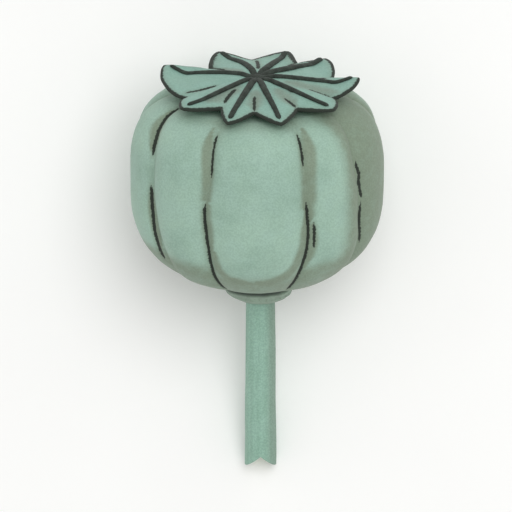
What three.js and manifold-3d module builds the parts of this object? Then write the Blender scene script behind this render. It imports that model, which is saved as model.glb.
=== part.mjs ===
// An unripe poppy seed head, cut with a short stem and laid on its side.
//
// The head is modelled upright in its own frame: +Z runs up the stem to the crown, z = 0 is at the
// tips of the cut end, and -Y is the face that looks up once the head is laid down. It has five
// pieces: the stem, the knob-like receptacle, the ribbed capsule, the lobed stigmatic disc that caps
// it, and the star of stigma rays on the disc. Millimetres throughout.
import * as THREE from "three";
import { mergeVertices } from "three/addons/utils/BufferGeometryUtils.js";
import Module from "manifold-3d";

const wasm = await Module();
wasm.setup();

// Driving dimensions.
const seam = 0.3; // the gap left where two pieces meet

const stemLength = 29.8;
const stemRadius = 2.65; // at the cut end
const stemTopRadius = 2.4;
const stemOffset = 0.6; // how far the stem stands to the right of the capsule's axis
const notchDepth = 2.3; // the V across the cut end

const receptacleRadius = 6.1;
const receptacleDepth = 3.5;

const capsuleRadius = 21.1; // at the crest of a rib
const capsuleUnderside = 17; // from the widest level down to where the curve would close
const capsuleShoulder = 16; // and up to where it would close
const undersideFullness = 2.5; // exponents of the two superellipses: 2 is round, more is squarer
const shoulderFullness = 3.8;
const capsuleFoot = 5.6; // radius of the flat foot on the receptacle
const capsuleTop = 15.3; // height of the flat seat of the disc above the widest level

const ribs = 9;
const ribDepth = 0.065; // depth of a groove, as a share of the radius
const ribSharpness = 3; // higher keeps the rib round until close to the groove
const backTaper = 0.09; // how much the back of the capsule draws in at its foot, as a share of the radius
const ribSpread = THREE.MathUtils.degToRad(5.5); // widens the front and back ribs, narrows the others

const discRise = 2.85; // top of the disc, at its centre, above the capsule's seat
const discPit = 0.5; // depth of the dimple in its middle
const discEdge = 0.45; // thickness of the rim
const discSeat = 9; // radius of the part of the disc that rests on the capsule
const discDroop = 2.2; // how far a lobe would fall from the lip of the pit to its tip if it did not curl
const curlStart = 0.72; // share of the way out at which the tip of a lobe begins to turn
const tipRounding = 0.15; // rounds the tips of the lobes; 0 would leave them pointed

// The lobes, anticlockwise from the right as seen from above the crown, with the back at 90 degrees.
// Each has the direction, reach and drop of its tip, the drop being measured below the middle of the
// disc, and the same for the bay that follows it. Sweep shapes the two sides of that bay: 1 leaves
// them straight, less makes them bulge and more makes them hollow.
const lobes = [
  { at: 1, reach: 17, drop: -0.1, bay: { at: 16, reach: 13, drop: 1.3, sweep: 1 } },
  { at: 46, reach: 16.7, drop: 0.7, bay: { at: 56, reach: 12.3, drop: 0.9, sweep: 1.3 } },
  { at: 72, reach: 16.6, drop: 0.8, bay: { at: 94, reach: 12.5, drop: 1.1, sweep: 1.4 } },
  { at: 113, reach: 16.4, drop: 0.6, bay: { at: 135, reach: 11.2, drop: 1.3, sweep: 1 } },
  { at: 160, reach: 16.5, drop: -0.4, bay: { at: 205, reach: 13, drop: 1.3, sweep: 0.6 } },
  { at: 221, reach: 16.3, drop: 1.2, bay: { at: 240, reach: 12, drop: 1.3, sweep: 1.1 } },
  { at: 253, reach: 16.5, drop: 1.9, bay: { at: 268, reach: 12.6, drop: 1.3, sweep: 1.1 } },
  { at: 284, reach: 16.4, drop: 1.9, bay: { at: 302, reach: 12.6, drop: 1.3, sweep: 1.1 } },
  { at: 320, reach: 16.5, drop: 1.4, bay: { at: 338, reach: 13.6, drop: 1.5, sweep: 0.7 } },
];

const rayWidth = 1;
const rayHeight = 0.6;
const rayStart = 0.6; // distance of a ray's inner end from the axis
const rayReach = 0.93; // share of the lobe that its ray covers
const knotRadius = 1.3; // the low knot where the rays meet

// Levels along the axis that follow from them.
const receptacleBase = stemLength + seam;
const receptacleTop = receptacleBase + receptacleDepth;
const footLevel = receptacleTop + seam;

// How many steps the curves are divided into.
const ribSteps = 8;
const laySteps = 40;
const lobeSteps = [0, 0.12, 0.35, 0.65]; // columns between a ray (0) and its bay (1), closer near the tip

const green = new THREE.MeshStandardMaterial({ color: 0x97b6a5, roughness: 0.62 });
const stemGreen = new THREE.MeshStandardMaterial({ color: 0x8db3a0, roughness: 0.55 });
const discGreen = new THREE.MeshStandardMaterial({ color: 0x8aaf9f, roughness: 0.65 });
const velvet = new THREE.MeshStandardMaterial({ color: 0x444b45, roughness: 0.9 });

// Turns a profile of [radius, height] pairs, listed from the foot up, round the Z axis. Then `place`
// may move each point: it gets the turn, as a share of a full circle from the front, the radius and
// the height, and returns the point's angle, radius and height. Angle 0 is at -Y and a quarter turn
// is at +X.
function turned(profile, sides, place = (turn, radius, z) => [turn * 2 * Math.PI, radius, z]) {
  const points = profile.map(([radius, z]) => new THREE.Vector2(radius, z));
  const geometry = new THREE.LatheGeometry(points, sides);
  const position = geometry.getAttribute("position");
  for (let i = 0; i < position.count; i++) {
    const column = Math.floor(i / points.length) % sides;
    const { x: profileRadius, y: height } = points[i % points.length];
    const [angle, radius, z] = place(column / sides, profileRadius, height);
    position.setXYZ(i, radius * Math.sin(angle), -radius * Math.cos(angle), z);
  }
  return geometry;
}

// A quarter of a superellipse from its widest point to height `limit`, as [radius, height] pairs.
function superellipse(radius, height, fullness, limit, steps) {
  const last = Math.asin((limit / height) ** (fullness / 2));
  return Array.from({ length: steps + 1 }, (_, i) => {
    const angle = (last * i) / steps;
    return [radius * Math.cos(angle) ** (2 / fullness), height * Math.sin(angle) ** (2 / fullness)];
  });
}

// Stem: a slightly tapered rod whose cut end is notched by a V that runs from front to back.
function stem() {
  const profile = [
    [0, 0],
    [stemRadius / 2, 0],
    [stemRadius, 0],
    [stemRadius, notchDepth],
    [(stemRadius + stemTopRadius) / 2, stemLength / 2],
    [stemTopRadius, stemLength],
    [0, stemLength],
  ];
  const rod = turned(profile, 24, (turn, radius, z) => {
    const angle = turn * 2 * Math.PI;
    const aside = Math.abs(radius * Math.sin(angle)) / stemRadius;
    return [angle, radius, z === 0 ? notchDepth * 0.95 * (1 - aside) : z];
  });
  return rod.translate(stemOffset, 0, 0);
}

// Receptacle: the swollen top of the stalk, a bowl that leads from the stem across to the capsule.
function receptacle() {
  const steps = 8;
  const bowl = Array.from({ length: steps + 1 }, (_, i) => {
    const angle = (Math.PI / 2) * (i / steps);
    const radius = stemTopRadius + (receptacleRadius - stemTopRadius) * Math.sin(angle);
    return [radius, receptacleBase + receptacleDepth * (1 - Math.cos(angle)) * 0.9];
  });
  const rim = [receptacleRadius - 0.2, receptacleTop];
  const geometry = turned([[0, receptacleBase], ...bowl, rim, [0, receptacleTop]], 36);
  const position = geometry.getAttribute("position");
  for (let i = 0; i < position.count; i++) {
    const rise = (position.getZ(i) - receptacleBase) / receptacleDepth;
    position.setX(i, position.getX(i) + stemOffset * (1 - rise));
  }
  return geometry;
}

// Capsule: a squat barrel with rounded ribs. Both curves start at the widest level.
const underside = superellipse(
  capsuleRadius,
  capsuleUnderside,
  undersideFullness,
  capsuleUnderside * (1 - (capsuleFoot / capsuleRadius) ** undersideFullness) ** (1 / undersideFullness),
  12,
);
const shoulder = superellipse(capsuleRadius, capsuleShoulder, shoulderFullness, capsuleTop, 12);
const footDepth = underside.at(-1)[1];
const widestLevel = footLevel + footDepth;
const seatLevel = widestLevel + capsuleTop;

function capsule() {
  const profile = [
    [0, footLevel],
    ...underside.toReversed().map(([radius, depth]) => [radius, widestLevel - depth]),
    ...shoulder.slice(1).map(([radius, height]) => [radius, widestLevel + height]),
    [0, seatLevel],
  ];
  return turned(profile, ribs * ribSteps, (turn, radius, z) => {
    const even = turn * 2 * Math.PI;
    const phase = Math.abs(((turn * ribs + 0.5) % 1) - 0.5) * 2; // 0 on a crest, 1 in a groove
    const nearFoot = THREE.MathUtils.smoothstep(z, footLevel, footLevel + 4);
    const groove = ribDepth * (0.2 + 0.8 * nearFoot) * phase ** ribSharpness;
    const back = ((1 - Math.cos(even)) / 2) ** 3;
    const taper = backTaper * back * THREE.MathUtils.smoothstep(widestLevel - z, 0, footDepth);
    return [even + ribSpread * Math.sin(2 * even), radius * (1 - groove) * (1 - taper), z];
  });
}

// The disc's rim at a column. Each lobe has four columns on either side of the bay that follows it.
// `ridge` is 1 along a ray and 0 in a bay.
function rimAt(column) {
  const half = lobeSteps.length;
  const index = Math.floor(column / (2 * half));
  const { bay } = lobes[index];
  const step = column % (2 * half);
  const pastBay = step > half;
  const lobe = lobes[(index + (pastBay ? 1 : 0)) % lobes.length];
  const aside = step === half ? 1 : lobeSteps[pastBay ? 2 * half - step : step];
  const tipAt = lobe.at < bay.at && pastBay ? lobe.at + 360 : lobe.at;
  const rounded = (share) => Math.hypot(share, tipRounding) - tipRounding;
  const softened = rounded(aside) / rounded(1);
  return {
    angle: THREE.MathUtils.degToRad(tipAt + (bay.at - tipAt) * aside + 90), // turned() starts at the front
    reach: bay.reach + (lobe.reach - bay.reach) * (1 - softened) ** bay.sweep,
    ridge: 1 - aside,
    lobe,
    bay,
  };
}

// Height of the disc's top face `out` of the way from its middle (0) to its rim (1). A dimple in the
// middle, then a dome that falls to the bays and, between them, curls up or down at the lobes' tips.
function discHeight({ ridge, lobe, bay }, out) {
  const lip = discPit * THREE.MathUtils.smoothstep(out, 0, 0.2);
  const curl = (discDroop - discPit - lobe.drop) * THREE.MathUtils.smoothstep(out, curlStart, 1);
  const crest = curl - discDroop * out ** 2;
  const valley = -(bay.drop + discPit) * out ** 2;
  return seatLevel + discRise + lip + THREE.MathUtils.lerp(valley, crest, ridge);
}

// Stigmatic disc: thick in the middle, where it rests on the capsule, and thin and pleated outside.
function stigmaDisc() {
  const outs = [0.08, 0.2, 0.38, 0.55, 0.68, 0.8, 0.91, 1];
  const below = outs.map((out) => [out, 0]);
  const above = outs.toReversed().map((out) => [out, 1]);
  const sides = lobes.length * 2 * lobeSteps.length;
  return turned([[0, 0], ...below, ...above, [0, 1]], sides, (turn, out, isTop) => {
    const rim = rimAt(Math.round(turn * sides));
    const top = discHeight(rim, out);
    const underside = out * rim.lobe.reach < discSeat ? seatLevel + seam : top - discEdge;
    return [rim.angle, out * rim.reach, isTop ? top : underside];
  });
}

// One mesh as a manifold-3d solid, and back.
function solid(geometry) {
  const bare = geometry.clone();
  bare.deleteAttribute("normal");
  bare.deleteAttribute("uv");
  const merged = mergeVertices(bare, 1e-4);
  return new wasm.Manifold(
    new wasm.Mesh({
      numProp: 3,
      vertProperties: new Float32Array(merged.getAttribute("position").array),
      triVerts: new Uint32Array(merged.index.array),
    }),
  );
}

function geometryOf(manifold) {
  const { vertProperties, triVerts } = manifold.getMesh();
  const geometry = new THREE.BufferGeometry();
  geometry.setAttribute("position", new THREE.BufferAttribute(vertProperties, 3));
  geometry.setIndex(new THREE.BufferAttribute(triVerts, 1));
  geometry.computeVertexNormals();
  return geometry;
}

// One stigma ray: a bar with an oval section that follows its lobe's crest just above the disc.
function ray(lobe) {
  const outs = [rayStart / lobe.reach, 0.12, 0.2, 0.4, 0.6, 0.7, 0.8, rayReach];
  const points = outs.map((out) => {
    const height = discHeight({ ridge: 1, lobe, bay: lobe.bay }, out);
    return new THREE.Vector3(out * lobe.reach, 0, height + seam + rayHeight / 2);
  });
  const section = new THREE.Shape();
  section.absellipse(0, 0, rayWidth / 2, rayHeight / 2, 0, 2 * Math.PI);
  const bar = new THREE.ExtrudeGeometry(section, {
    curveSegments: 4,
    steps: 10,
    bevelEnabled: false,
    extrudePath: new THREE.CatmullRomCurve3(points),
  });
  return bar.rotateZ(THREE.MathUtils.degToRad(lobe.at));
}

// Stigma rays: nine bars joined at a low knot on the axis.
function stigmaRays() {
  const base = seatLevel + discRise + seam;
  const knot = turned(
    [
      [0, base],
      [knotRadius * 0.6, base],
      [knotRadius, base + rayHeight * 0.6],
      [knotRadius * 0.7, base + rayHeight * 1.1],
      [0, base + rayHeight * 1.2],
    ],
    18,
  );
  const star = lobes.reduce((joined, lobe) => joined.add(solid(ray(lobe))), solid(knot));
  return geometryOf(star);
}

const head = new THREE.Group();
function addPiece(name, geometry, material) {
  const mesh = new THREE.Mesh(geometry, material);
  mesh.name = name;
  head.add(mesh);
  return mesh;
}

const stemPiece = addPiece("stem", stem(), stemGreen);
addPiece("receptacle", receptacle(), green);
const capsulePiece = addPiece("capsule", capsule(), green);
addPiece("stigma_disc", stigmaDisc(), discGreen);
addPiece("stigma_rays", stigmaRays(), velvet);

// Laying it down. With the axis tilted by `tilt` above the ground, a point's height over the axis
// origin is z sin(tilt) - y cos(tilt), because the back of the head (+Y) faces the ground.
function lowestPoint(mesh, tilt) {
  const position = mesh.geometry.getAttribute("position");
  let lowest = Infinity;
  for (let i = 0; i < position.count; i++) {
    lowest = Math.min(lowest, position.getZ(i) * Math.sin(tilt) - position.getY(i) * Math.cos(tilt));
  }
  return lowest;
}

// The tilt at which the cut end and two of the capsule's ribs touch the ground together.
function restingTilt() {
  let low = 0;
  let high = Math.PI / 4;
  for (let i = 0; i < laySteps; i++) {
    const middle = (low + high) / 2;
    if (lowestPoint(capsulePiece, middle) < lowestPoint(stemPiece, middle)) low = middle;
    else high = middle;
  }
  return low;
}

// The laid head points along +Y, and its origin is at the middle of its footprint on the ground.
head.rotation.x = restingTilt() - Math.PI / 2;
head.updateMatrixWorld(true);
const extent = new THREE.Box3().setFromObject(head, true);
const middle = extent.getCenter(new THREE.Vector3());
head.position.set(-middle.x, -middle.y, -extent.min.z);

const seedHead = new THREE.Group();
seedHead.add(head);

export default seedHead;
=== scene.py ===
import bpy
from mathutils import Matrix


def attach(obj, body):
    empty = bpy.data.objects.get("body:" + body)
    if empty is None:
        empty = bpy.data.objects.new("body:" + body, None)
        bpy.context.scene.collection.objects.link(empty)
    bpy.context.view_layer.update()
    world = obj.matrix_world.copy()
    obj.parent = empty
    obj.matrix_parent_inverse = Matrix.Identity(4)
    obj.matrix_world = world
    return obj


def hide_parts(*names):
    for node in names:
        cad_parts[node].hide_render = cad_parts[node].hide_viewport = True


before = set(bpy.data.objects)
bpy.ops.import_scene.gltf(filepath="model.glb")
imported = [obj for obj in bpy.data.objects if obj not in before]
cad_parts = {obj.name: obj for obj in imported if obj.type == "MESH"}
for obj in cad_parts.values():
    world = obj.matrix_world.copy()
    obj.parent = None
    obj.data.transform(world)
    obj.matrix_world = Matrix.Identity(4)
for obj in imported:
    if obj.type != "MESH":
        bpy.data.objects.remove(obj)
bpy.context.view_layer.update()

# %% [markdown]
# ## The head's own axis
# The head was grown upright and then laid down, so it is easiest to shape upright: +Z runs up the
# stem to the crown, and -Y is the face that now looks up. The axis could be typed in as an angle,
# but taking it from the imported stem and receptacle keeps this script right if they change.
# %% Find the axis
import math

import bmesh
import bpy
from mathutils import Matrix, Vector, kdtree, noise

MM = 0.001


def middle_of(node):
    points = [vertex.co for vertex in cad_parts[node].data.vertices]
    return sum(points, Vector()) / len(points)


axis = middle_of("receptacle") - middle_of("stem")
axis.x = 0
axis.normalize()
print("tilt in degrees:", round(math.degrees(math.asin(axis.z)), 2))


# %% Levels of the parts along the axis
def span_of(node):
    """Lowest and highest place of a part along the axis, in millimetres."""
    along = [vertex.co.dot(axis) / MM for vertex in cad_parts[node].data.vertices]
    return min(along), max(along)


cut_level = span_of("stem")[0]
stem_top = span_of("stem")[1] - cut_level
receptacle_base, receptacle_top = (end - cut_level for end in span_of("receptacle"))
capsule_foot, seat_level = (end - cut_level for end in span_of("capsule"))
stem_offset = middle_of("stem").x / MM
print("capsule from", round(capsule_foot, 2), "to", round(seat_level, 2), "mm above the cut")
print("stem stands", round(stem_offset, 2), "mm beside the axis")

# %% The matrix that lays the upright head down and turns millimetres to metres
foot = middle_of("stem")
foot += axis * (cut_level * MM - foot.dot(axis))
foot.x = 0
laid_down = Matrix(
    (
        (1, 0, 0, foot.x),
        (0, axis.z, axis.y, foot.y),
        (0, -axis.y, axis.z, foot.z),
        (0, 0, 0, 1),
    )
) @ Matrix.Scale(MM, 4)
print("cut end lies at", [round(part / MM, 2) for part in laid_down @ Vector()], "mm")

# %% [markdown]
# ## Turning a profile
# Stem, receptacle, capsule and crown all grew round one axis, so each starts as a lathe shape: a
# line of points spun once round the axis and closed. A cylinder or sphere could be pushed into
# shape, but a spun line gives the rows exactly where they are wanted. A function then moves each
# point off the lathe shape, which is how a plant departs from it.
# %% Smooth steps and mixes
def ease(value, low, high):
    """0 below low, 1 above high, and a smooth step between."""
    share = min(max((value - low) / (high - low), 0), 1)
    return share * share * (3 - 2 * share)


def lerp(low, high, share):
    return low + (high - low) * share


def polar(angle, radius, height):
    """A point at an angle that starts at the front and goes by the right."""
    return Vector((radius * math.sin(angle), -radius * math.cos(angle), height))


print("a quarter of the way, a smooth step is at", ease(0.25, 0, 1))


# %% Points evenly spaced along a line
def evenly(points, step):
    lengths = [0]
    for (r0, z0), (r1, z1) in zip(points, points[1:]):
        lengths.append(lengths[-1] + math.hypot(r1 - r0, z1 - z0))
    count = max(1, round(lengths[-1] / step))
    even, i = [], 0
    for target in (lengths[-1] * n / count for n in range(count + 1)):
        while i < len(points) - 2 and lengths[i + 1] < target:
            i += 1
        share = (target - lengths[i]) / (lengths[i + 1] - lengths[i])
        even.append([lerp(a, b, share) for a, b in zip(points[i], points[i + 1])])
    return even


print("a 3-4-5 corner in steps of 3.5:", evenly([[0, 0], [3, 0], [3, 4]], 3.5))

# %% A helper that spins a profile
POLE = 1e-4


def turned(profile, sides, place):
    """A closed shape from [radius, height] points, each moved by place(turn, radius, height)."""
    shape = bmesh.new()
    line = [shape.verts.new((0, -radius, height)) for radius, height in profile]
    for ends in zip(line, line[1:]):
        shape.edges.new(ends)
    bmesh.ops.spin(
        shape,
        geom=shape.verts[:] + shape.edges[:],
        axis=(0, 0, 1),
        angle=2 * math.pi,
        steps=sides,
        use_merge=True,
    )
    bmesh.ops.remove_doubles(shape, verts=shape.verts, dist=POLE)
    for vertex in shape.verts:
        x, y, height = vertex.co
        radius = math.hypot(x, y)
        turn = round(math.atan2(x, -y) / (2 * math.pi) * sides) % sides / sides
        vertex.co = place(turn if radius > POLE else 0, radius, height)
    bmesh.ops.recalc_face_normals(shape, faces=shape.faces)
    return shape


trial = turned([[0, 0], [1, 0], [1, 1], [0, 1]], 8, lambda turn, *rest: polar(turn, *rest))
print("a trial drum with 8 sides has", len(trial.verts), "vertices and", len(trial.faces), "faces")
trial.free()


# %% A helper that lays a shape down and makes it an object
def finish_piece(name, shape):
    """The object stays at the origin, with its place in its mesh. Nothing goes into the floor."""
    shape.transform(laid_down)
    for vertex in shape.verts:
        vertex.co.z = max(vertex.co.z, 0)
    for face in shape.faces:
        face.smooth = True
    mesh = bpy.data.meshes.new(name)
    shape.to_mesh(mesh)
    shape.free()
    piece = bpy.data.objects.new(name, mesh)
    bpy.context.scene.collection.objects.link(piece)
    print(name, len(mesh.vertices), "vertices,", len(mesh.polygons), "faces")
    return piece


# %% [markdown]
# ## The capsule's ribs
# Nine seed chambers swell between nine sunken seams. On a lathe shape the seams would be dead
# straight, so each has its own path: places where it runs, given as a level and a position
# counted in ribs round from the front. The columns of the mesh are bent to follow the paths, so
# each seam lies exactly on one column and each rib bulges between two.
# %% Paths of the nine seams
RIBS = 9
SEAM_BOTTOM, SEAM_TOP, SEAM_STEP = 34, 66, 4

# Places are (level, position). Position 0 is the middle of the front rib, and 9 is once round.
seams = {
    0: [
        (34, 0.47), (40.5, 0.486), (44, 0.522), (48, 0.544),
        (53.5, 0.511), (60, 0.49), (66, 0.53),
    ],
    1: [
        (34, 1.45), (40, 1.42), (43.7, 1.38), (49, 1.28),
        (52.3, 1.3), (56, 1.23), (59, 1.18), (66, 1.33),
    ],
    7: [
        (34, 7.62), (38, 7.78), (42, 7.84), (48, 7.75),
        (53, 7.66), (59, 7.67), (62.7, 7.57), (66, 7.3),
    ],
    8: [
        (34, 8.5), (38.4, 8.485), (44, 8.489), (49, 8.467),
        (53, 8.438), (58, 8.53), (66, 8.48),
    ],
}
for number in range(2, 7):
    seams[number] = [
        (level, number + 0.5 + 0.05 * math.sin(level * 0.2 + number * 1.7))
        for level in range(SEAM_BOTTOM, SEAM_TOP + 2, SEAM_STEP)
    ]
print("seams start at", [round(seams[number][0][1], 2) for number in range(RIBS)])


# %% Where a seam runs at any level
def position_on(path, level):
    """Where a path runs at a level, with its corners rounded."""
    total = 0
    for at in (level - 2, level - 1, level, level + 1, level + 2):
        i = 0
        while i < len(path) - 2 and path[i + 1][0] < at:
            i += 1
        (low, start), (high, end) = path[i], path[i + 1]
        total += lerp(start, end, min(max((at - low) / (high - low), 0), 1))
    return total / 5


def seam_position(number, level):
    return position_on(seams[number % RIBS], level) + number // RIBS * RIBS


print("first seam half way up:", round(seam_position(0, (capsule_foot + seat_level) / 2), 3))

# %% The capsule's outline: two quarters of a squarish oval, then even rows
CAPSULE_RADIUS = 21.1
UNDERSIDE, UNDERSIDE_FULLNESS = 17, 2.5
SHOULDER, SHOULDER_FULLNESS = 16, 3.8
FOOT_RADIUS = 5.6
ROW_STEP = 0.36


def quarter(radius, height, fullness, limit):
    """A quarter of a superellipse from its widest point up to height limit."""
    last = math.asin((limit / height) ** (fullness / 2))
    angles = [last * i / 400 for i in range(401)]
    return [
        [radius * math.cos(a) ** (2 / fullness), height * math.sin(a) ** (2 / fullness)]
        for a in angles
    ]


foot_depth = UNDERSIDE * (1 - (FOOT_RADIUS / CAPSULE_RADIUS) ** UNDERSIDE_FULLNESS) ** (
    1 / UNDERSIDE_FULLNESS
)
widest_level = capsule_foot + foot_depth
below = quarter(CAPSULE_RADIUS, UNDERSIDE, UNDERSIDE_FULLNESS, foot_depth)
above = quarter(CAPSULE_RADIUS, SHOULDER, SHOULDER_FULLNESS, seat_level - widest_level)
capsule_profile = evenly(
    [[0, capsule_foot]]
    + [[radius, widest_level - depth] for radius, depth in reversed(below)]
    + [[radius, widest_level + height] for radius, height in above[1:]]
    + [[0, seat_level]],
    ROW_STEP,
)
capsule_profile[0][0] = capsule_profile[-1][0] = 0
print("widest", round(widest_level, 2), "mm above the cut, with", len(capsule_profile), "rows")

# %% Bulge a rib between each two seams, spin the capsule
RIB_DEPTH = 0.065
RIB_SHARPNESS = 3
BACK_TAPER = 0.09
RIB_SPREAD = math.radians(5.5)
FOOT_FADE, FOOT_GROOVE = 4, 0.2
COLUMNS = 52 * RIBS
level_cache = {}


def capsule_point(turn, radius, level):
    """Where a point of the lathe shape goes. The turn is counted so that 1/9 is one rib."""
    column = turn * RIBS - 0.5
    number = math.floor(column + 1e-6)
    share = column - number
    key = round(level, 4)
    if key not in level_cache:
        level_cache[key] = [seam_position(n, level) for n in range(-1, RIBS + 1)]
    start, end = level_cache[key][number + 1 : number + 3]
    even = lerp(start, end, share) / RIBS * 2 * math.pi
    phase = abs(share - 0.5) * 2
    near_foot = ease(level, capsule_foot, capsule_foot + FOOT_FADE)
    groove = RIB_DEPTH * lerp(FOOT_GROOVE, 1, near_foot) * phase**RIB_SHARPNESS
    back = ((1 - math.cos(even)) / 2) ** 3
    taper = BACK_TAPER * back * ease(widest_level - level, 0, foot_depth)
    angle = even + RIB_SPREAD * math.sin(2 * even)
    return polar(angle, radius * (1 - groove) * (1 - taper), level)


capsule = turned(capsule_profile, COLUMNS, capsule_point)
print("spun capsule:", len(capsule.faces), "faces in", COLUMNS, "columns")

# %% [markdown]
# ## Creases and shaded streaks
# Each seam is pressed in along part of its length as a narrow dark crease that fades out at
# mid-height and starts again. Beside the creases, olive is painted into the skin as shade.
# Both are strokes on the surface: points along a path with a half-width. A tree of the points
# finds, for any place on the skin, how far inside the nearest stroke it is. Painting an image
# could hold the same marks, but strokes stay sharp and also press the real shape in.
# %% A helper that reads strokes
def sampled(points, half_width, on_surface, step=0.15, ends=0.35, taper=1.4):
    """A stroke as places a step apart, each with its half-width, which is thinner at the ends."""
    places = [on_surface(*point) for point in points]
    lengths = [(b - a).length for a, b in zip(places, places[1:])]
    whole = sum(lengths)
    count = max(2, round(whole / step))
    made = []
    for n in range(count + 1):
        target, i = whole * n / count, 0
        while i < len(lengths) - 1 and target > lengths[i]:
            target -= lengths[i]
            i += 1
        inside = min(target / lengths[i], 1)
        column, level = (lerp(a, b, inside) for a, b in zip(points[i], points[i + 1]))
        fade = min(1, min(n, count - n) / count * whole / taper + ends)
        made.append((on_surface(column, level), half_width * fade))
    return made


def stroke_finder(strokes):
    """A function from a place to the nearest stroke's distance and half-width there."""
    points = [pair for stroke in strokes for pair in stroke]
    tree = kdtree.KDTree(len(points))
    for i, (place, _) in enumerate(points):
        tree.insert(place, i)
    tree.balance()

    def find(place):
        _, i, distance = tree.find(place)
        return distance, points[i][1]

    return find


test_stroke = sampled([(0, 0), (3, 0)], 1, lambda x, y: Vector((x, y, 0)))
print("a test stroke of 3 mm has", len(test_stroke), "places")

# %% Places on the capsule's skin
profile_radius = {}
for radius, level in capsule_profile[1:-1]:
    if radius > FOOT_RADIUS - 0.01:
        profile_radius[level] = radius
skin_levels = sorted(profile_radius)


def on_skin(column, level):
    """The place on the skin at a column counted in ribs, a whole number being a seam."""
    level = min(max(level, skin_levels[0]), skin_levels[-1])
    i = 0
    while i < len(skin_levels) - 2 and skin_levels[i + 1] < level:
        i += 1
    low, high = skin_levels[i : i + 2]
    radius = lerp(profile_radius[low], profile_radius[high], (level - low) / (high - low))
    return capsule_point((column + 0.5) / RIBS % 1, radius, level)


print("first seam at mid-height lies at", [round(part, 1) for part in on_skin(0, 50)])

# %% Paths of the creases: (column, level) points and a half-width in millimetres
crease_paths = [
    ([(0, 64.5), (0, 60)], 0.27),
    ([(0, 53.9), (0, 46), (0, 36)], 0.34),
    ([(0.075, 50.3), (0.085, 45.6)], 0.28),
    ([(1.03, 58.6), (1.05, 56.2), (1.03, 54.8), (1.05, 51.5)], 0.32),
    ([(1.04, 51), (1.02, 47.5), (1.05, 43.3)], 0.3),
    ([(6.97, 65.6), (6.96, 62.5), (6.95, 58.8)], 0.38),
    ([(6.95, 53.8), (6.94, 49), (6.92, 45), (6.9, 40.5)], 0.38),
    ([(8, 64.5), (8, 58.2)], 0.26),
    ([(8, 53.5), (8, 45), (8, 35.8)], 0.34),
]
for number in range(2, 7):
    shift = 1.2 * math.sin(number * 2.3)
    crease_paths += [
        ([(number, 64.8), (number, 58.4 + shift)], 0.25),
        ([(number, 54 + shift), (number, 46), (number, 39 - shift / 2)], 0.26),
    ]
print(len(crease_paths), "creases")

# %% Paths of the olive streaks of painted shade beside the creases
shade_paths = [
    ([(0.12, 65), (0.08, 60), (0.06, 58), (0.04, 55), (0, 52.5), (0, 50), (-0.03, 46)], 1.5),
    ([(0.06, 50), (0.05, 45), (0.03, 42)], 1.1),
    ([(7.92, 65), (7.94, 60), (7.96, 58), (8.02, 54), (8.06, 46)], 1.1),
    ([(8.02, 54), (8.05, 45), (8.09, 42), (8.2, 40), (8.5, 39.3)], 1.1),
    ([(8.4, 39.3), (8.66, 39.5), (8.81, 40.7), (8.9, 42.3), (8.94, 45), (8.98, 52)], 1.25),
    ([(6.95, 65), (6.94, 62.5), (6.93, 60)], 1.8),
    ([(6.94, 53), (6.95, 43)], 1.0),
]
for number in range(2, 7):
    shade_paths.append(([(number + 0.02, 64), (number + 0.03, 52), (number, 40)], 1.5))
print(len(shade_paths), "streaks")

# %% Finders for creases, streaks and seams
near_crease = stroke_finder([sampled(path, width, on_skin) for path, width in crease_paths])
near_shade = stroke_finder(
    [sampled(path, width, on_skin, 0.5, ends=0.3, taper=4) for path, width in shade_paths]
)
seam_levels = range(SEAM_BOTTOM, SEAM_TOP + 1, SEAM_STEP)
near_seam = stroke_finder(
    [sampled([(n, level) for level in seam_levels], 1, on_skin, 0.5) for n in range(RIBS)]
)
print("from the front rib's crest to a seam:", round(near_seam(on_skin(8.5, 50))[0], 1), "mm")


# %% How much painted shade a place gets, as a share that is 0 where it is unshaded
# The most painted shade in a streak, under the crown, at a seam, on the underside, on the right.
IN_STREAK, UNDER_CROWN, AT_SEAM, LOW_DOWN, ON_FLANK = 0.85, 0.35, 0.3, 0.75, 0.9


# All of it is painted shade: olive where less light falls, not a change in the wax.
def painted_shade_share(place):
    distance, width = near_shade(place)
    streak = IN_STREAK * (1 - ease(distance, 0.3 * width, 1.4 * width))
    under_crown = UNDER_CROWN * ease(place.z, seat_level - 1.6, seat_level - 0.2)
    seam_tint = AT_SEAM * (1 - ease(near_seam(place)[0], 0, 3))
    around = math.degrees(math.atan2(place.x, -place.y))
    low_edge = capsule_foot + 6.5 + 2.3 * ease(abs(around), 15, 35)
    low_band = LOW_DOWN * (1 - ease(place.z, low_edge - 1.6, low_edge + 1.6))
    flank = ON_FLANK * ease(around, 38, 52) * (1 - ease(around, 76, 150))
    unshaded = 1
    for shade_share in (streak, low_band, under_crown, seam_tint, flank):
        unshaded *= 1 - shade_share
    return 1 - unshaded


# Prints the share of painted shade on the front rib.
print("share of the wax gone on the front rib:", round(painted_shade_share(on_skin(8.5, 50)), 2))

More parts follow.
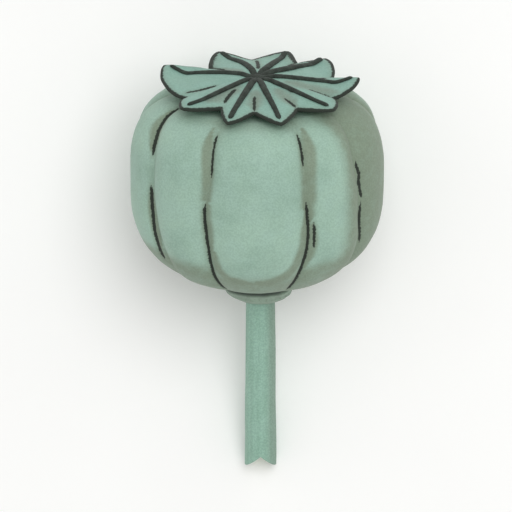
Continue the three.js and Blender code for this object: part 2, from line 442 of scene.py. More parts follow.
# %% Press the creases in, add slow lumps, and store what the skin's material reads
CREASE_DEPTH, CREASE_WALL, CREASE_WIDTH = 0.16, 0.42, 0.25
LUMP_HEIGHT, LUMP_SCALE = 0.17, 0.13
DENT_HEIGHT, DENT_SCALE = 0.05, 0.45
FAR = -3
crease_layer = capsule.verts.layers.float.new("crease")
shade_layer = capsule.verts.layers.float.new("shade")
for vertex in capsule.verts:
    place = vertex.co.copy()
    distance, width = near_crease(place)
    vertex[crease_layer] = max(width - distance, FAR)
    # The stored shade is painted shade, mixed in as olive by the skin's material.
    vertex[shade_layer] = painted_shade_share(place)
    pressed = CREASE_DEPTH * width / CREASE_WIDTH * math.exp(-((distance / CREASE_WALL) ** 2))
    lumps = LUMP_HEIGHT * noise.noise(place * LUMP_SCALE)
    lumps += DENT_HEIGHT * noise.noise(place * DENT_SCALE)
    outward = Vector((place.x, place.y, (place.z - widest_level) * 0.9))
    if outward.length > 1 and math.hypot(place.x, place.y) > FOOT_RADIUS:
        vertex.co = place + outward.normalized() * (lumps - pressed)
capsule_piece = finish_piece("ribbed_capsule", capsule)

# %% [markdown]
# ## The crown
# The stigmatic disc is a thin leathery cap with nine lobes. It is also a lathe shape: its profile
# runs out along the underside, round the rim and back over the top. Each column then gets its own
# reach and height. A ray's crest runs to each lobe's tip, and the skin falls into a bay between
# two lobes, so the pleats come from the same function as the outline.
# %% The nine lobes, in degrees from the right by the back, and millimetres
# A tip's direction, reach and drop, then those of the bay that follows, and the bay's sweep.
lobes = [
    (1, 17, -0.1, 16, 13, 1.3, 1),
    (46, 16.7, 0.7, 56, 12.3, 0.9, 1.3),
    (72, 16.6, 0.8, 94, 12.5, 1.1, 1.4),
    (113, 16.4, 0.6, 135, 11.2, 1.3, 1),
    (160, 16.5, -0.4, 205, 13, 1.3, 0.6),
    (221, 16.3, 1.2, 240, 12, 1.3, 1.1),
    (253, 16.5, 1.9, 268, 12.6, 1.3, 1.1),
    (284, 16.4, 1.9, 302, 12.6, 1.3, 1.1),
    (320, 16.5, 1.4, 338, 13.6, 1.5, 0.7),
]
print(len(lobes), "lobes, the longest", max(lobe[1] for lobe in lobes), "mm from the middle")

# %% The rim's outline, from lobe to lobe
TIP_ROUNDING = 0.15
TIP_SWEEP = 1.3


def rim_at(place):
    """At a place counted in lobes: angle, reach, nearness to a ray, tip's reach, both drops."""
    index = math.floor(place + 1e-6) % RIBS
    step = place - math.floor(place + 1e-6)
    at, reach, drop, bay_at, bay_reach, bay_drop, sweep = lobes[index]
    if step > 0.5:
        at, reach, drop = lobes[(index + 1) % RIBS][:3]
        at += 360 * (index == RIBS - 1)
    aside = (2 * min(step, 1 - step)) ** TIP_SWEEP
    rounded = math.hypot(aside, TIP_ROUNDING) - TIP_ROUNDING
    softened = rounded / (math.hypot(1, TIP_ROUNDING) - TIP_ROUNDING)
    angle = math.radians(lerp(at, bay_at, aside) + 90)
    return angle, lerp(bay_reach, reach, (1 - softened) ** sweep), 1 - aside, reach, drop, bay_drop


print("reach of the first tip and bay:", rim_at(0)[1], round(rim_at(0.5)[1], 2))

# %% The crown's height: crests with curled tips, valleys between, a pit in the middle
DISC_RISE, DISC_PIT, DISC_EDGE, DISC_SEAT, DISC_DROOP = 2.85, 0.5, 0.45, 9, 2.2
CURL_START = 0.72
RIM_WAVER = 0.012
SEAM_GAP = 0.05
HALF = 22
DISC_COLUMNS = RIBS * 2 * HALF


def disc_height(ridge, drop, bay_drop, out):
    """Height of the top face, out of the way from its middle (0) to its rim (1)."""
    lip = DISC_PIT * ease(out, 0, 0.2)
    crest = (DISC_DROOP - DISC_PIT - drop) * ease(out, CURL_START, 1) - DISC_DROOP * out**2
    valley = -(bay_drop + DISC_PIT) * out**2
    return seat_level + DISC_RISE + lip + lerp(valley, crest, ridge)


def disc_point(turn, out, side):
    """side is 0 on the underside, 1 on the top, and between them round the rim."""
    angle, reach, ridge, tip_reach, drop, bay_drop = rim_at(turn * RIBS)
    reach *= 1 + RIM_WAVER * noise.noise(Vector((math.cos(angle) * 5, math.sin(angle) * 5, 3)))
    top = disc_height(ridge, drop, bay_drop, out)
    seated = 1 - ease(out * tip_reach, DISC_SEAT - 0.6, DISC_SEAT + 0.6)
    bottom = lerp(top - DISC_EDGE, seat_level + SEAM_GAP, seated)
    return polar(angle, out * reach, lerp(bottom, top, side))


print("first tip stands at", [round(part, 1) for part in disc_point(0, 1, 1)])

# %% Spin the crown: out along the underside, round the rim and back over the top
outs = [0.02 * i for i in range(1, 50)] + [0.992]
disc_profile = (
    [[0, 0]]
    + [[out, 0] for out in outs]
    + [[0.998, 0.18], [1, 0.5], [0.998, 0.82]]
    + [[out, 1] for out in reversed(outs)]
    + [[0, 1]]
)
disc = turned(disc_profile, DISC_COLUMNS, disc_point)
print("spun crown:", len(disc.faces), "faces")

# %% The rim as a stroke, for the dry margin
rim_points = [disc_point(n / DISC_COLUMNS, 1, 0.5) for n in range(DISC_COLUMNS)]
rim_line = []
for a, b in zip(rim_points, rim_points[1:] + rim_points[:1]):
    rim_line += [(a.lerp(b, k / 3), 0) for k in range(3)]
near_rim = stroke_finder([rim_line])
print("rim line of", len(rim_line), "places")


# %% Creases in the bays and painted shade between two lobes, as (lobe, way out) points
def on_crown(place, out):
    return disc_point(place / RIBS % 1, out, 1)


fold_paths = [
    ([(4.45, 0.89), (4.49, 0.54)], 0.32),
    ([(5.48, 0.85), (5.39, 0.46)], 0.34),
    ([(2.44, 0.87), (2.38, 0.33)], 0.34),
    ([(3.46, 0.97), (3.5, 0.68)], 0.34),
    ([(0.31, 0.64), (0.4, 0.84)], 0.34),
    ([(8.22, 0.33), (7.8, 0.51)], 0.32),
    ([(6.5, 0.95), (6.47, 0.6)], 0.3),
    ([(7.5, 0.95), (7.46, 0.7)], 0.3),
    ([(1.5, 0.97), (1.5, 0.75)], 0.28),
    ([(8.5, 0.95), (8.45, 0.65)], 0.28),
]
near_fold = stroke_finder(
    [sampled(path, width, on_crown, taper=0.6) for path, width in fold_paths]
)
# Painted shade: greyer olive in the bays between lobes, where shade falls.
grey_paths = [
    ([(5.2, 0.75), (5.35, 0.4)], 2.0),
    ([(6.5, 0.9), (6.5, 0.5)], 1.6),
    ([(7.5, 0.9), (7.5, 0.5)], 1.6),
    ([(8.6, 0.9), (8.5, 0.4)], 1.6),
    ([(3.5, 0.8), (3.5, 0.3)], 1.0),
]
near_grey = stroke_finder(
    [sampled(path, width, on_crown, step=0.5, ends=0.5) for path, width in grey_paths]
)
print(len(fold_paths), "creases and", len(grey_paths), "grey patches on the crown")

# %% Press the creases in and store what the crown's material reads
# The dry margin counts its distance from the rim as shorter at the back, where it has dried more.
FOLD_DEPTH, FOLD_WALL = 0.12, 0.4
CROWN_LUMPS, CROWN_LUMP_SCALE = 0.1, 0.35
BACK_DRYING = 0.5
margin_layer = disc.verts.layers.float.new("margin")
crease_layer = disc.verts.layers.float.new("crease")
shade_layer = disc.verts.layers.float.new("shade")
for vertex in disc.verts:
    place = vertex.co.copy()
    at_back = ease(place.y / max(1, math.hypot(place.x, place.y)), 0.2, 0.9)
    vertex[margin_layer] = near_rim(place)[0] * (1 - BACK_DRYING * at_back)
    distance, width = near_fold(place)
    vertex[crease_layer] = max(width - distance, FAR)
    pressed = FOLD_DEPTH * math.exp(-((distance / FOLD_WALL) ** 2))
    distance, width = near_grey(place)
    # The crown's stored shade is painted shade, read by the same skin material.
    vertex[shade_layer] = 0.8 * (1 - ease(distance, 0, 1.7 * width))
    vertex.co.z += CROWN_LUMPS * noise.noise(place * CROWN_LUMP_SCALE) - pressed
crown_piece = finish_piece("stigmatic_disc", disc)

# %% [markdown]
# ## The rays
# Nine dark velvety bars, the stigmas, lie along the crests and meet in a low knot. Each is a
# closed cylinder cut across into short lengths, then bent over its crest and narrowed towards its
# tip. A curve with a bevel would do too, but it would be round, and a ray is wider than it is high.
# %% A bar bent over its crest: half-widths and sideways bows in millimetres, one for each lobe
RAY_START, RAY_END = 0.5, 0.93
RAY_SIDES, RAY_CUTS = 14, 56
RAY_RIDGE, RAY_TIP, RAY_LIFT, RAY_FRAY = 0.4, 0.78, 0.12, 0.1
ray_widths = [0.62, 0.8, 0.64, 0.6, 0.6, 0.56, 0.6, 0.56, 0.56]
ray_bows = [-0.4, -0.6, -0.3, -0.8, -0.2, 0.5, 0.2, -0.2, -0.4]


def ray_point(place, lobe, half_width, bow):
    """Where a point of a bar 1 mm long and 1 mm in radius goes on its lobe."""
    at, reach, drop, _, _, bay_drop, _ = lobe
    share = place.z + 0.5
    distance = lerp(RAY_START, RAY_END * reach, share)
    blunt = math.sqrt(max(0.02, 1 - max(0, (share - 0.95) / 0.05) ** 2))
    narrow = lerp(1, RAY_TIP, ease(share, 0.3, 1)) * blunt
    narrow *= 1 + RAY_FRAY * noise.noise(Vector((distance * 2.2, at, place.x * 1.5)))
    ridge = RAY_RIDGE * narrow * (place.y if place.y > 0 else 0.7 * place.y)
    height = disc_height(1, drop, bay_drop, distance / reach) + ridge + RAY_LIFT
    aside = place.x * half_width * narrow + bow * math.sin(math.pi * share)
    return polar(math.radians(at + 90), distance, height) + polar(math.radians(at + 180), aside, 0)


def join(shape, part):
    """Adds a finished part to a shape."""
    loose = bpy.data.meshes.new("loose")
    part.to_mesh(loose)
    shape.from_mesh(loose)
    bpy.data.meshes.remove(loose)
    part.free()


print("rays from", 2 * min(ray_widths), "to", 2 * max(ray_widths), "mm wide")

# %% Nine rays, cut across and bent
rays = bmesh.new()
for lobe, half_width, bow in zip(lobes, ray_widths, ray_bows):
    bar = bmesh.new()
    bmesh.ops.create_cone(
        bar, cap_ends=True, segments=RAY_SIDES, radius1=1, radius2=1, depth=1
    )
    for cut in range(1, RAY_CUTS):
        bmesh.ops.bisect_plane(
            bar,
            geom=bar.verts[:] + bar.edges[:] + bar.faces[:],
            plane_co=(0, 0, cut / RAY_CUTS - 0.5),
            plane_no=(0, 0, 1),
        )
    for vertex in bar.verts:
        vertex.co = ray_point(vertex.co, lobe, half_width, bow)
    join(rays, bar)
print("nine rays:", len(rays.faces), "faces")

# %% The knot where they meet
knot_profile = evenly([[0, -0.25], [0.9, -0.2], [1.15, 0.2], [0.75, 0.52], [0, 0.6]], 0.09)
knot_profile[0][0] = knot_profile[-1][0] = 0


def knot_point(turn, radius, height):
    angle = turn * 2 * math.pi
    lobed = 1 + 0.1 * math.cos(RIBS * angle)
    return polar(angle, radius * lobed, seat_level + DISC_RISE + height + 0.1)


join(rays, turned(knot_profile, 72, knot_point))
bmesh.ops.recalc_face_normals(rays, faces=rays.faces)
rays_piece = finish_piece("stigma_rays_velvet", rays)

# %% [markdown]
# ## The receptacle
# The stalk swells into a small bowl under the capsule. The petals and stamens fell from it and
# left rings of scars. The bowl is a turned profile, and the scars are shallow steps in it.
# %% The bowl's outline
STEM_RADIUS, STEM_TOP_RADIUS = 2.65, 2.4
RECEPTACLE_RADIUS = 6.1
bowl = []
for i in range(41):
    swing = math.pi / 2 * i / 40
    radius = lerp(STEM_TOP_RADIUS, RECEPTACLE_RADIUS, math.sin(swing))
    depth = receptacle_top - receptacle_base
    bowl.append([radius, receptacle_base + depth * (1 - math.cos(swing)) * 0.9])
bowl_profile = evenly(
    [[0, receptacle_base - 0.3]]
    + [[STEM_TOP_RADIUS - 0.05, receptacle_base - 0.3]]
    + bowl
    + [[RECEPTACLE_RADIUS - 0.35, receptacle_top + 0.15], [0, receptacle_top + 0.2]],
    0.13,
)
bowl_profile[0][0] = bowl_profile[-1][0] = 0
print("bowl outline of", len(bowl_profile), "points")

# %% Scar rings, painted shadow at the rim, and a foot that meets the stem beside the axis
SCAR_ROWS, SCARS_ROUND = 3.5, 20
RING_DEPTH, SCAR_DEPTH, BOWL_LUMPS = 0.09, 0.07, 0.16


def receptacle_point(turn, radius, height):
    angle = turn * 2 * math.pi
    share = (height - receptacle_base) / (receptacle_top - receptacle_base)
    across = Vector((stem_offset * (1 - min(max(share, 0), 1)), 0, 0))
    if radius < STEM_TOP_RADIUS:
        return polar(angle, radius, height) + across
    rings = RING_DEPTH * math.sin(share * 2 * math.pi * SCAR_ROWS)
    row = math.floor(share * SCAR_ROWS)
    scars = SCAR_DEPTH * max(0, math.sin(angle * SCARS_ROUND + 3 * row))
    scars *= ease(share, 0.35, 0.7)
    around = Vector((math.cos(angle) * 3, math.sin(angle) * 3, height * 0.8))
    lumps = BOWL_LUMPS * noise.noise(around)
    return polar(angle, radius + rings - scars + lumps, height) + across


receptacle = turned(bowl_profile, 180, receptacle_point)
# Painted shadow: the top of the bowl darkens just under the capsule's foot.
contact_shadow_layer = receptacle.verts.layers.float.new("rim")
for vertex in receptacle.verts:
    vertex[contact_shadow_layer] = ease(vertex.co.z, receptacle_top - 1.5, receptacle_top - 0.5)
receptacle_piece = finish_piece("scarred_receptacle", receptacle)

# %% [markdown]
# ## The stem
# A smooth fresh stalk with faint ridges, cut across with two strokes of a knife, which leaves a
# shallow V. The cut shows a pale pith with a ring of darker bundles near the skin. The profile
# has many points across the cut so that the bundles are real dimples and the skin a real lip.
# %% The rod's outline, with many rows across the cut
NOTCH = 2.3
CUT_EDGE = 0.12
stem_profile = (
    [[0, 0]]
    + [[radius / 20 * (STEM_RADIUS - CUT_EDGE), 0] for radius in range(1, 21)]
    + [[STEM_RADIUS - 0.03, 0.04], [STEM_RADIUS, CUT_EDGE]]
    + evenly([[STEM_RADIUS, 0.4], [STEM_TOP_RADIUS, stem_top]], 0.4)
    + [[STEM_TOP_RADIUS, stem_top + 0.02], [0, stem_top + 0.02]]
)
print("stem outline of", len(stem_profile), "points")

# %% Bundles in the cut
BUNDLES, BUNDLE_CIRCLE, BUNDLE_RADIUS = 13, 2.05, 0.33


def bundle_at(turn, radius):
    """1 in the middle of a bundle in the cut and 0 away from it."""
    around = abs((turn * BUNDLES) % 1 - 0.5) * 2 * math.pi / BUNDLES * 2
    return max(0, 1 - math.hypot(around, radius - BUNDLE_CIRCLE) / BUNDLE_RADIUS)


print("a bundle's middle:", bundle_at(0.5 / BUNDLES, BUNDLE_CIRCLE))

# %% Ridges along the rod, a notch across its end, and the dimpled cut
PITH_HOLLOW, BUNDLE_DEPTH = 0.1, 0.14
RIDGE_HEIGHT, STEM_LUMPS = 0.035, 0.08
beside = Vector((stem_offset, 0, 0))


def stem_point(turn, radius, height):
    angle = turn * 2 * math.pi
    cut = 1 - min(height / 4, 1)
    aside = abs(radius * math.sin(angle)) / STEM_RADIUS
    notch = NOTCH * (1 - aside) * cut
    if height < 0.01 and radius < STEM_RADIUS - 0.05:
        pith = PITH_HOLLOW * (1 - ease(radius, 1.5, 1.9))
        bundle = BUNDLE_DEPTH * bundle_at(turn, radius)
        return polar(angle, radius, notch + pith + bundle) + beside
    if radius < STEM_TOP_RADIUS - 0.05:
        return polar(angle, radius, height) + beside
    ridges = RIDGE_HEIGHT * math.cos(angle * BUNDLES + 0.3 * math.sin(height * 0.2))
    swell = STEM_LUMPS * noise.noise(Vector((math.cos(angle), math.sin(angle), height * 0.12)))
    fade = ease(height, 0, 1.5) * (1 - ease(height, stem_top - 2, stem_top))
    return polar(angle, radius + (ridges + swell) * fade, height + notch) + beside


stem = turned(stem_profile, 156, stem_point)
print("spun stem:", len(stem.faces), "faces")

# %% Store what the stem's material reads: the cut, its bundles and painted shade on the right side
cut_layer = stem.verts.layers.float.new("cut")
bundle_layer = stem.verts.layers.float.new("bundle")
shade_layer = stem.verts.layers.float.new("shade")
for vertex in stem.verts:
    x, y, height = vertex.co - beside
    radius = math.hypot(x, y)
    level = height - NOTCH * (1 - abs(x) / STEM_RADIUS)
    inside = level < 0.35 and radius < STEM_RADIUS - CUT_EDGE / 2
    around = math.degrees(math.atan2(x, -y))
    # Painted shade: the stalk's right side is darkened in its colour.
    vertex[shade_layer] = ease(around, 0, 60) * (1 - ease(around, 76, 120))
    vertex[cut_layer] = inside
    vertex[bundle_layer] = bundle_at(around / 360 % 1, radius) * inside
stem_piece = finish_piece("cut_stem", stem)

# %% [markdown]
# ## Materials: colours and one helper
# Colours are written as screen hex values and turned to the linear ones that light works in. One
# helper adds a shader node, with its settings, its fixed inputs and its links. A pattern's scale
# comes from the real width of its grains, so it stays right whatever the piece's size.
# %% Colour and node helpers
def hue(text):
    """A hex colour as linear red, green, blue and alpha."""
    parts = [int(text[i : i + 2], 16) / 255 for i in (1, 3, 5)]
    return [c / 12.92 if c <= 0.04045 else ((c + 0.055) / 1.055) ** 2.4 for c in parts] + [1]


def new_material(name):
    material = bpy.data.materials.new(name)
    material.use_nodes = True
    material.node_tree.nodes.clear()
    return material


def add(material, kind, inputs, out=0, **settings):
    """Adds a node. Inputs, listed in order or by name, are values or outputs to link."""
    tree = material.node_tree
    node = tree.nodes.new("ShaderNode" + kind)
    for name, value in settings.items():
        setattr(node, name, value)
    for socket, value in inputs.items() if isinstance(inputs, dict) else enumerate(inputs):
        if isinstance(value, bpy.types.NodeSocket):
            tree.links.new(value, node.inputs[socket])
        else:
            node.inputs[socket].default_value = value
    return node.outputs[out] if node.outputs else node


def grains(size):
    """The noise scale whose grains are about size millimetres across."""
    return 1 / (size * MM)


# Settings of a Map Range with soft ends, and of a Mix of two colours (its sockets 0, 6 and 7).
SOFT = {"interpolation_type": "SMOOTHSTEP"}
COLOURS = {"out": 2, "data_type": "RGBA"}
print("mid grey in light:", [round(part, 3) for part in hue("#808080")[:3]])

# %% [markdown]
# ## Waxy skin of the capsule
# A fresh poppy capsule is green under a thin layer of wax powder, its bloom, which makes it look
# matt, pale and blue. So the base is grey-green with slow cloudy changes where the bloom is
# thicker. The wax grains are a few thousandths of a millimetre and far too fine to see, so the
# grain is drawn about 0.3 mm across. Wax has an IOR near 1.42, and the powder keeps it rough.
# %% Bloom: clouds of thicker and thinner wax, and the grain
CLOUD_SIZE, DRIFT_SIZE, GRAIN_SIZE = 9, 3.2, 0.3


def bloomed(skin, place, pale, deep, blue):
    """The wax's colour, its clouds and its grain."""
    grain = add(
        skin,
        "TexNoise",
        {"Vector": place, "Scale": grains(GRAIN_SIZE), "Detail": 1.5, "Roughness": 0.6},
    )
    clouds = add(skin, "TexNoise", {"Vector": place, "Scale": grains(CLOUD_SIZE), "Detail": 3})
    clouds = add(skin, "MapRange", [clouds, 0.36, 0.66], **SOFT)
    drift = add(skin, "TexNoise", {"Vector": place, "Scale": grains(DRIFT_SIZE), "Detail": 2})
    drift = add(skin, "MapRange", [drift, 0.38, 0.66, 0, 0.55], **SOFT)
    colour = add(skin, "Mix", {0: clouds, 6: hue(pale), 7: hue(deep)}, **COLOURS)
    colour = add(skin, "Mix", {0: drift, 6: colour, 7: hue(blue)}, **COLOURS)
    return colour, clouds, grain


print("bloom grain drawn at", GRAIN_SIZE, "mm, clouds at", CLOUD_SIZE, "mm")

# %% Painted shade: the skin shows olive where the stored shade says
PATCH_SIZE = 1.4


def mix_painted_shade(skin, place, colour, grain, olive):
    """Mixes in olive as painted shade by the stored shade, with uneven edges, then lays the grain
    over it.
    """
    patchy = add(
        skin,
        "TexNoise",
        {"Vector": place, "Scale": grains(PATCH_SIZE), "Detail": 4, "Roughness": 0.6},
    )
    patchy = add(skin, "MapRange", [patchy, 0.3, 0.7, 0.86, 1.14], **SOFT)
    shade = add(skin, "Attribute", {}, "Fac", attribute_name="shade")
    painted_shade = add(skin, "Math", [shade, patchy], operation="MULTIPLY")
    painted_shade = add(skin, "MapRange", [painted_shade, 0, 1], **SOFT)
    # Painted shade: olive mixed into the colour.
    colour = add(skin, "Mix", {0: painted_shade, 6: colour, 7: hue(olive)}, **COLOURS)
    powder = add(skin, "MapRange", [grain, 0.34, 0.66, 0.93, 1.07], **SOFT)
    return add(skin, "Mix", {0: 1, 6: colour, 7: powder}, blend_type="MULTIPLY", **COLOURS)


# %% Dark creases with an olive edge of painted shade, and the crown's dry margin
DRY = "#2b322b"
RAGGED_SIZE = 0.35


def creased(skin, place, colour, olive, margin):
    """Draws the stored creases, and the margin where there is one. Also gives their mask."""
    ragged = add(skin, "TexNoise", {"Vector": place, "Scale": grains(RAGGED_SIZE), "Detail": 2})
    ragged = add(skin, "MapRange", [ragged, 0.3, 0.7, -0.07, 0.07], **SOFT)
    crease = add(skin, "Attribute", {}, "Fac", attribute_name="crease")
    crease = add(skin, "Math", [crease, ragged], operation="ADD")
    # Painted shade: an olive edge beside each crease, where shade falls into it.
    crease_shade = add(skin, "MapRange", [crease, -0.75, 0.1, 0, 0.4], **SOFT)
    colour = add(skin, "Mix", {0: crease_shade, 6: colour, 7: hue(olive)}, **COLOURS)
    line = add(skin, "MapRange", [crease, -0.05, 0.09], **SOFT)
    colour = add(skin, "Mix", {0: line, 6: colour, 7: hue(DRY)}, **COLOURS)
    if not margin:
        return colour, line
    edge = add(skin, "Attribute", {}, "Fac", attribute_name="margin")
    edge = add(skin, "Math", [edge, ragged], operation="ADD")
    haze = add(skin, "MapRange", [edge, 0.5, 1.4, 0.35, 0], **SOFT)
    colour = add(skin, "Mix", {0: haze, 6: colour, 7: hue(olive)}, **COLOURS)
    dry = add(skin, "MapRange", [edge, 0.46, 0.64, 1, 0], **SOFT)
    colour = add(skin, "Mix", {0: dry, 6: colour, 7: hue(DRY)}, **COLOURS)
    return colour, add(skin, "Math", [line, dry], operation="MAXIMUM")


# %% The whole skin, and the capsule's own
WAX_IOR = 1.42


def waxy_skin(name, pale, deep, blue, olive, margin=False):
    skin = new_material(name)
    place = add(skin, "TexCoord", {}, "Object")
    colour, clouds, grain = bloomed(skin, place, pale, deep, blue)
    colour = mix_painted_shade(skin, place, colour, grain, olive)
    colour, dark = creased(skin, place, colour, olive, margin)
    fine = add(skin, "Bump", {"Strength": 0.35, "Distance": 0.06 * MM, "Height": grain})
    relief = {"Strength": 0.3, "Distance": 0.3 * MM, "Height": clouds, "Normal": fine}
    surface = {
        "Base Color": colour,
        "Roughness": add(skin, "MapRange", [dark, 0, 1, 0.62, 0.8], **SOFT),
        "Normal": add(skin, "Bump", relief),
        "IOR": WAX_IOR,
        "Specular IOR Level": 0.35,
        "Sheen Weight": 0.06,
        "Sheen Roughness": 0.5,
    }
    add(skin, "OutputMaterial", [add(skin, "BsdfPrincipled", surface)])
    print(name, "has", len(skin.node_tree.nodes), "nodes")
    return skin


# The olive colour is the colour of the painted shade.
capsule_piece.data.materials.append(
    waxy_skin("waxy_capsule_skin", "#9cbaa9", "#90ae9e", "#9bb9ab", "#7d8d7a")
)

# %% [markdown]
# ## Crown skin
# The crown is the same waxy skin but thinner and bluer, and its rim has dried to a dark margin
# half a millimetre wide, and twice that at the back. The same function makes it, in its own
# colours.
# %% Crown skin with a dry margin
crown_piece.data.materials.append(
    waxy_skin("leathery_crown_skin", "#88ac9e", "#80a699", "#8cb1a5", "#7d8f82", margin=True)
)

# %% [markdown]
# ## Velvet of the rays
# The stigmas are covered with dark hairs under a tenth of a millimetre long. Hairs this short
# need no strands: a rough dark surface with a soft sheen at its edges and a bump, drawn a little
# coarser than the hairs so that it shows, gives the eye the same velvet.
# %% Stigma velvet
PILE_SIZE, WORN_SIZE = 0.16, 1.1
velvet = new_material("stigma_velvet")
place = add(velvet, "TexCoord", {}, "Object")
pile = add(
    velvet,
    "TexNoise",
    {"Vector": place, "Scale": grains(PILE_SIZE), "Detail": 2, "Roughness": 0.6},
)
worn = add(velvet, "TexNoise", {"Vector": place, "Scale": grains(WORN_SIZE), "Detail": 2})
worn = add(velvet, "MapRange", [worn, 0.35, 0.7], **SOFT)
colour = add(velvet, "Mix", {0: worn, 6: hue("#2a302b"), 7: hue("#39413b")}, **COLOURS)
tips = add(velvet, "MapRange", [pile, 0.45, 0.75, 0, 0.5], **SOFT)
colour = add(velvet, "Mix", {0: tips, 6: colour, 7: hue("#4a564c")}, **COLOURS)
surface = {
    "Base Color": colour,
    "Roughness": 0.92,
    "Normal": add(velvet, "Bump", {"Strength": 0.6, "Distance": 0.1 * MM, "Height": pile}),
    "Specular IOR Level": 0.2,
    "Sheen Weight": 0.08,
    "Sheen Roughness": 0.45,
}
add(velvet, "OutputMaterial", [add(velvet, "BsdfPrincipled", surface)])
rays_piece.data.materials.append(velvet)
print("stigma_velvet has", len(velvet.node_tree.nodes), "nodes")

# %% [markdown]
# ## Receptacle skin
# It has less bloom than the capsule, so it is duller and more olive, with dry spots of about half
# a millimetre. A dark ring right under the capsule is painted shadow. Its wax is too thin to draw
# as powder, so its bump is the roughness of the healed scars.
# %% Scarred olive skin
MOTTLE_SIZE, SPOT_SIZE, SCAR_SIZE = 2.2, 0.5, 0.25
scarred = new_material("scarred_receptacle_skin")
place = add(scarred, "TexCoord", {}, "Object")
mottle = add(scarred, "TexNoise", {"Vector": place, "Scale": grains(MOTTLE_SIZE), "Detail": 3})
mottle = add(scarred, "MapRange", [mottle, 0.35, 0.68], **SOFT)
colour = add(scarred, "Mix", {0: mottle, 6: hue("#87978a"), 7: hue("#94a998")}, **COLOURS)
spots = add(
    scarred,
    "TexNoise",
    {"Vector": place, "Scale": grains(SPOT_SIZE), "Detail": 3, "Roughness": 0.65},
)
spots = add(scarred, "MapRange", [spots, 0.5, 0.72, 0, 0.55], **SOFT)
colour = add(scarred, "Mix", {0: spots, 6: colour, 7: hue("#6f7c68")}, **COLOURS)
# Painted shadow: a dark ring at the top of the bowl, right under the capsule.
rim = add(scarred, "Attribute", {}, "Fac", attribute_name="rim")
rim = add(scarred, "MapRange", [rim, 0, 1, 0, 0.95], **SOFT)
colour = add(scarred, "Mix", {0: rim, 6: colour, 7: hue("#3a433d")}, **COLOURS)
healed = add(
    scarred,
    "TexNoise",
    {"Vector": place, "Scale": grains(SCAR_SIZE), "Detail": 2, "Roughness": 0.6},
)
surface = {
    "Base Color": colour,
    "Roughness": 0.68,
    "Normal": add(scarred, "Bump", {"Strength": 0.5, "Distance": 0.12 * MM, "Height": healed}),
    "IOR": WAX_IOR,
    "Specular IOR Level": 0.3,
}
add(scarred, "OutputMaterial", [add(scarred, "BsdfPrincipled", surface)])
receptacle_piece.data.materials.append(scarred)
print("scarred_receptacle_skin has", len(scarred.node_tree.nodes), "nodes")

# %% [markdown]
# ## Stem skin and cut
# The stalk's skin has the same bloom with long faint streaks of thinner wax. The streaks are a
# noise drawn out along the stalk, so the pattern is first turned to lie along it. The cut shows
# pale pith, darker bundles and a drying edge. The pith's cells are about a tenth of a millimetre,
# so they are drawn three times as coarse to show.
# %% Bloomed stem skin
STREAK_SIZE, STREAK_STRETCH, STALK_CLOUD = 0.55, 20, 3
stalk = new_material("bloomed_stem_skin")
place = add(stalk, "TexCoord", {}, "Object")
level = add(stalk, "Mapping", {"Vector": place, "Rotation": [-math.asin(axis.z), 0, 0]})
along = add(stalk, "Mapping", {"Vector": level, "Scale": [1, 1 / STREAK_STRETCH, 1]})
streaks = add(
    stalk,
    "TexNoise",
    {"Vector": along, "Scale": grains(STREAK_SIZE), "Detail": 3, "Roughness": 0.6},
)
streaks = add(stalk, "MapRange", [streaks, 0.35, 0.68], **SOFT)
colour = add(stalk, "Mix", {0: streaks, 6: hue("#94b8a7"), 7: hue("#8aae9c")}, **COLOURS)
clouds = add(stalk, "TexNoise", {"Vector": place, "Scale": grains(STALK_CLOUD), "Detail": 2})
clouds = add(stalk, "MapRange", [clouds, 0.36, 0.66, 0, 0.5], **SOFT)
colour = add(stalk, "Mix", {0: clouds, 6: colour, 7: hue("#95b8a8")}, **COLOURS)
# Painted shade: olive on the stalk's right side, by the stored shade.
painted_shade = add(stalk, "Attribute", {}, "Fac", attribute_name="shade")
painted_shade = add(stalk, "MapRange", [painted_shade, 0, 1, 0, 0.6], **SOFT)
colour = add(stalk, "Mix", {0: painted_shade, 6: colour, 7: hue("#7a8b7d")}, **COLOURS)
grain = add(
    stalk,
    "TexNoise",
    {"Vector": place, "Scale": grains(GRAIN_SIZE), "Detail": 1.5, "Roughness": 0.6},
)
powder = add(stalk, "MapRange", [grain, 0.34, 0.66, 0.91, 1.09], **SOFT)
skin = add(stalk, "Mix", {0: 1, 6: colour, 7: powder}, blend_type="MULTIPLY", **COLOURS)
print("streaks:", STREAK_SIZE, "mm wide and", STREAK_SIZE * STREAK_STRETCH, "mm long")

# %% Pith, bundles and the drying edge of the cut
PITH_SIZE = 0.3
cells = add(stalk, "TexNoise", {"Vector": place, "Scale": grains(PITH_SIZE), "Detail": 2})
cells = add(stalk, "MapRange", [cells, 0.35, 0.7], **SOFT)
pith = add(stalk, "Mix", {0: cells, 6: hue("#b3c2a6"), 7: hue("#c6d0b8")}, **COLOURS)
bundle = add(stalk, "Attribute", {}, "Fac", attribute_name="bundle")
bundle = add(stalk, "MapRange", [bundle, 0.05, 0.6], **SOFT)
pith = add(stalk, "Mix", {0: bundle, 6: pith, 7: hue("#6c7d62")}, **COLOURS)
cut = add(stalk, "Attribute", {}, "Fac", attribute_name="cut")
drying = add(stalk, "MapRange", [cut, 0.3, 0.6], **SOFT)
colour = add(stalk, "Mix", {0: drying, 6: skin, 7: hue("#4a5347")}, **COLOURS)
open_cut = add(stalk, "MapRange", [cut, 0.85, 0.98], **SOFT)
colour = add(stalk, "Mix", {0: open_cut, 6: colour, 7: pith}, **COLOURS)
fine = add(stalk, "Bump", {"Strength": 0.4, "Distance": 0.08 * MM, "Height": grain})
relief = {"Strength": 0.5, "Distance": 0.1 * MM, "Height": streaks, "Normal": fine}
surface = {
    "Base Color": colour,
    "Roughness": 0.58,
    "Normal": add(stalk, "Bump", relief),
    "IOR": WAX_IOR,
    "Specular IOR Level": 0.35,
}
add(stalk, "OutputMaterial", [add(stalk, "BsdfPrincipled", surface)])
stem_piece.data.materials.append(stalk)
print("bloomed_stem_skin has", len(stalk.node_tree.nodes), "nodes")
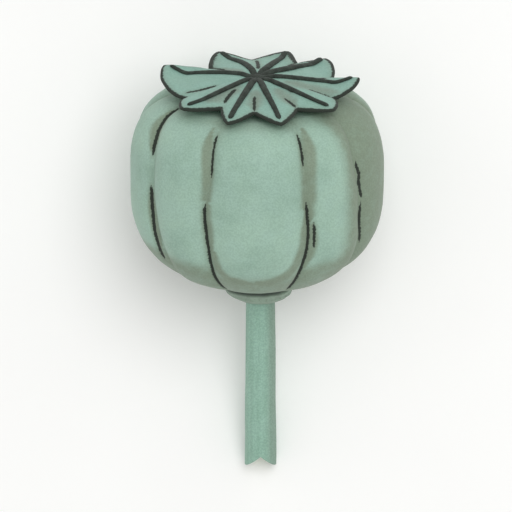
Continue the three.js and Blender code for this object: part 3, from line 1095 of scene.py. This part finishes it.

# %% [markdown]
# ## Joining the frame
# Each piece rides on the one body and stands for its imported part. The
# imported parts stay in the model for its physics, and are hidden here.
# %% Ride and replace
for piece, node, slot in (
    (capsule_piece, "capsule", "capsule_skin"),
    (crown_piece, "stigma_disc", "disc_skin"),
    (rays_piece, "stigma_rays", "stigma_velvet"),
    (receptacle_piece, "receptacle", "receptacle_skin"),
    (stem_piece, "stem", "stem_skin"),
):
    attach(piece, "root")
    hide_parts(node)
    print(piece.name, "stands for", node)

# %% [markdown]
# ## Floor, light and camera
# The head lies on a plain pale floor under a wide soft lamp above it, with a bright even
# surround, so nothing is hidden in shade. The camera looks straight down through a long lens from
# far away, so the head shows almost without perspective.
# %% Floor
FLOOR_REACH = 1.5
sheet = bmesh.new()
bmesh.ops.create_grid(sheet, x_segments=1, y_segments=1, size=FLOOR_REACH)
floor_mesh = bpy.data.meshes.new("floor")
sheet.to_mesh(floor_mesh)
sheet.free()
floor = bpy.data.objects.new("floor", floor_mesh)
bpy.context.scene.collection.objects.link(floor)
print("floor", [round(side, 1) for side in floor.dimensions], "m")

# %% White paper with a very faint unevenness
PULP_SIZE = 40
paper = new_material("white_paper")
place = add(paper, "TexCoord", {}, "Object")
pulp = add(paper, "TexNoise", {"Vector": place, "Scale": grains(PULP_SIZE), "Detail": 2})
pulp = add(paper, "MapRange", [pulp, 0.3, 0.7], **SOFT)
colour = add(paper, "Mix", {0: pulp, 6: hue("#fcfcfb"), 7: hue("#fefefd")}, **COLOURS)
surface = add(paper, "BsdfPrincipled", {"Base Color": colour, "Roughness": 0.9})
add(paper, "OutputMaterial", [surface])
floor_mesh.materials.append(paper)
print("white_paper has", len(paper.node_tree.nodes), "nodes")

# %% Light
AIM_LEVEL = 20
LAMP_PLACE, LAMP_ACROSS, LAMP_WATTS = (0.16, 0.2, 0.85), 0.6, 3.0
SURROUND_STRENGTH = 0.7
world = bpy.data.worlds.new("soft_surround")
world.use_nodes = True
backdrop = world.node_tree.nodes["Background"]
backdrop.inputs["Color"].default_value = hue("#fdfdfc")
backdrop.inputs["Strength"].default_value = SURROUND_STRENGTH
bpy.context.scene.world = world
bpy.context.scene.view_settings.view_transform = "Standard"

lamp = bpy.data.lights.new("soft_key", "AREA")
lamp.shape = "DISK"
lamp.size = LAMP_ACROSS
lamp.energy = LAMP_WATTS
key = bpy.data.objects.new("soft_key", lamp)
bpy.context.scene.collection.objects.link(key)
key.location = LAMP_PLACE
aim = Vector((0, 0, AIM_LEVEL * MM)) - key.location
key.rotation_euler = aim.to_track_quat("-Z", "Y").to_euler()
print("lamp", round(aim.length, 2), "m away and", lamp.size, "m across")

# %% Camera
FRAME_WIDTH = 84.66
CAMERA_HEIGHT = 1500
SIGHT_LEVEL = 25
OFF_CENTRE = 0.165
lens = bpy.data.cameras.new("camera")
lens.sensor_width = 36
lens.lens = lens.sensor_width * (CAMERA_HEIGHT - SIGHT_LEVEL) / FRAME_WIDTH
lens.clip_end = 10
camera = bpy.data.objects.new("camera", lens)
camera.location = (-OFF_CENTRE * MM, OFF_CENTRE * MM, CAMERA_HEIGHT * MM)
bpy.context.scene.collection.objects.link(camera)
bpy.context.scene.camera = camera
print("camera", CAMERA_HEIGHT, "mm up with a", round(lens.lens), "mm lens")
